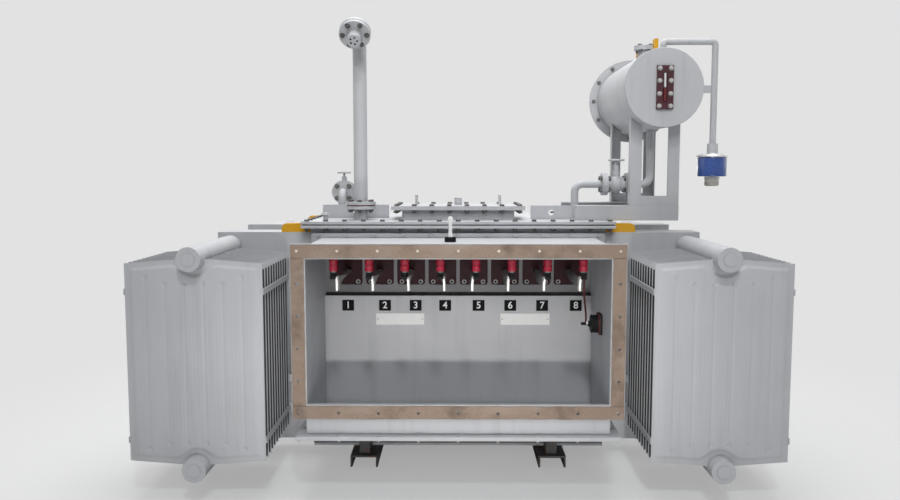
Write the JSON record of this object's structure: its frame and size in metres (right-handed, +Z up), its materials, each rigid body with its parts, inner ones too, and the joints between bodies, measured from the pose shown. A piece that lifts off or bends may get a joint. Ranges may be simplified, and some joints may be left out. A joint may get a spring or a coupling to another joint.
{
  "type": "furnace transformer",
  "caption": "Oil-filled furnace transformer: plate tank on skids with an open cable box, finned radiators, oil conservator, breather and vent pipe.",
  "frame": {"origin": "centre of the object's plan, at ground level under the skids", "axes": "+X right seen from the cable box, +Y away from the cable box towards the rear, +Z up"},
  "size_m": [2.518, 1.86, 1.8999],
  "materials": {
    "grey_paint": "semi-gloss light grey enamel",
    "skid_paint": "dark primer, worn",
    "cork_gasket": "matt rubberised cork",
    "lid_rubber": "matt",
    "vent_rubber": "matt",
    "yellow_paint": "semi-gloss enamel",
    "terminal_board": "laminated insulation board",
    "red_insulator": "cast resin",
    "tinned_copper": "tinned",
    "black_bushing": "moulded",
    "earth_wire": "sleeved",
    "gauge_red": "semi-gloss enamel",
    "bright_cap": "satin",
    "blue_gel": "clear jar over blue gel",
    "oil_cup": "clouded clear"
  },
  "bodies": {
    "transformer": {"base_channels": "skid_paint", "tank_floor": "grey_paint", "tank_front_wall": "grey_paint", "tank_rear_wall": "grey_paint", "tank_side_walls": "grey_paint", "tank_curb": "grey_paint", "lid_gasket": "lid_rubber", "lid": "grey_paint", "header_ducts": "grey_paint", "radiator_headers": "grey_paint", "radiator_front_left": "grey_paint", "radiator_front_right": "grey_paint", "radiator_rear_left": "grey_paint", "radiator_rear_right": "grey_paint", "radiator_straps": "grey_paint", "box_side_walls": "grey_paint", "box_top": "grey_paint", "box_sill": "grey_paint", "box_bottom_flange": "grey_paint", "gland_plate": "grey_paint", "box_front_flange": "grey_paint", "box_front_gasket": "cork_gasket", "box_rear_flange": "grey_paint", "label_panel": "grey_paint", "terminal_boards": "terminal_board", "insulators": "red_insulator", "busbars": "tinned_copper", "earth_bushing": "black_bushing", "earth_lead": "earth_wire", "inspection_turret": "grey_paint", "turret_cover": "grey_paint", "lid_lifting_plates": "grey_paint", "thermometer_pocket": "grey_paint", "vent_neck": "grey_paint", "vent_gaskets": "vent_rubber", "vent_pipe": "grey_paint", "vent_end": "grey_paint", "filter_pipe": "grey_paint", "filter_valve": "grey_paint", "filter_blank": "grey_paint", "conservator_base": "grey_paint", "conservator_supports": "grey_paint", "conservator_shell": "grey_paint", "conservator_end_plate": "grey_paint", "conservator_cover": "grey_paint", "oil_gauge": "gauge_red", "lifting_lugs": "yellow_paint", "relay_pipes": "grey_paint", "relay_valve": "grey_paint", "breather_pipe": "grey_paint", "breather_cap": "bright_cap", "breather_body": "blue_gel", "breather_cup": "oil_cup", "hv_box": "grey_paint", "hv_box_cover": "grey_paint"},
    "filter_wheel": {"filter_handwheel": "grey_paint"},
    "relay_wheel": {"relay_handwheel": "grey_paint"}
  },
  "joints": [
    {"name": "filter_wheel_turn", "type": "hinge", "parent": "transformer", "child": "filter_wheel", "pos_m": [-0.541, 0.012, 1.2585], "axis": [0, 0, 1], "range_deg": [0, 2250]},
    {"name": "relay_wheel_turn", "type": "hinge", "parent": "transformer", "child": "relay_wheel", "pos_m": [0.714, -0.17, 1.3145], "axis": [0, 0, 1], "range_deg": [-2250, 0]}
  ]
}
